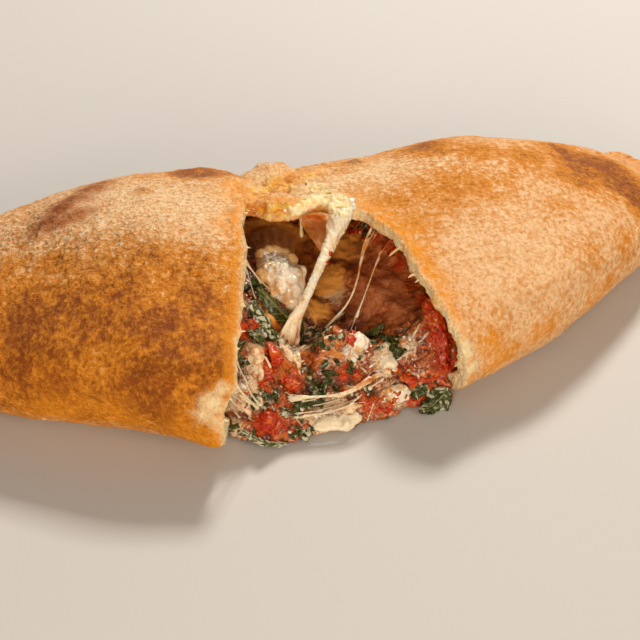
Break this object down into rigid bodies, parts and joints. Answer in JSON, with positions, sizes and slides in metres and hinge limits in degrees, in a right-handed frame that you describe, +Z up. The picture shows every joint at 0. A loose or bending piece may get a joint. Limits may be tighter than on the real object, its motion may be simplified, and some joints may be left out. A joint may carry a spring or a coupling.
{
  "type": "calzone",
  "caption": "Folded pizza-dough turnover, broken open across the middle and bent back so that ricotta, tomato, spinach and stretched melted cheese show in its mouth.",
  "frame": {"origin": "middle of the bounding box, on the plane that the calzone rests on", "axes": "+X from the left tip to the right tip, +Y from the open mouth towards the rolled seam at the back, +Z up"},
  "size_m": [0.3288, 0.1266, 0.0513],
  "materials": {
    "baked_crust": "dry baked dough, floury, golden with brown and charred spots",
    "filling": "wet tomato sauce mixed with ricotta, chopped spinach and melted cheese",
    "melted_cheese": "stretched melted mozzarella, oily and slightly see-through",
    "ricotta": "moist ricotta, soft and glossy",
    "tomato": "wet crushed tomato",
    "spinach": "wilted wet leaf"
  },
  "bodies": {
    "root": {"crust": "baked_crust", "filling": "filling", "cheese_pull": "melted_cheese", "cheese_web": "melted_cheese", "cheese_strand_back": "melted_cheese", "cheese_strand_thin": "melted_cheese", "cheese_strand_front": "melted_cheese", "cheese_thread_front": "melted_cheese", "cheese_strand_left": "melted_cheese", "cheese_strand_corner": "melted_cheese", "ricotta_mound": "ricotta", "ricotta_middle": "ricotta", "ricotta_front": "ricotta", "cheese_smear": "melted_cheese", "cheese_puddle": "melted_cheese", "tomato_front": "tomato", "tomato_left": "tomato", "tomato_ridge": "tomato", "tomato_valley": "tomato", "tomato_middle": "tomato", "tomato_crumbs": "tomato", "tomato_right": "tomato", "spinach_under_ricotta": "spinach", "spinach_striped": "spinach", "spinach_left": "spinach", "spinach_middle": "spinach", "spinach_front": "spinach", "spinach_stem": "spinach"}
  },
  "joints": []
}
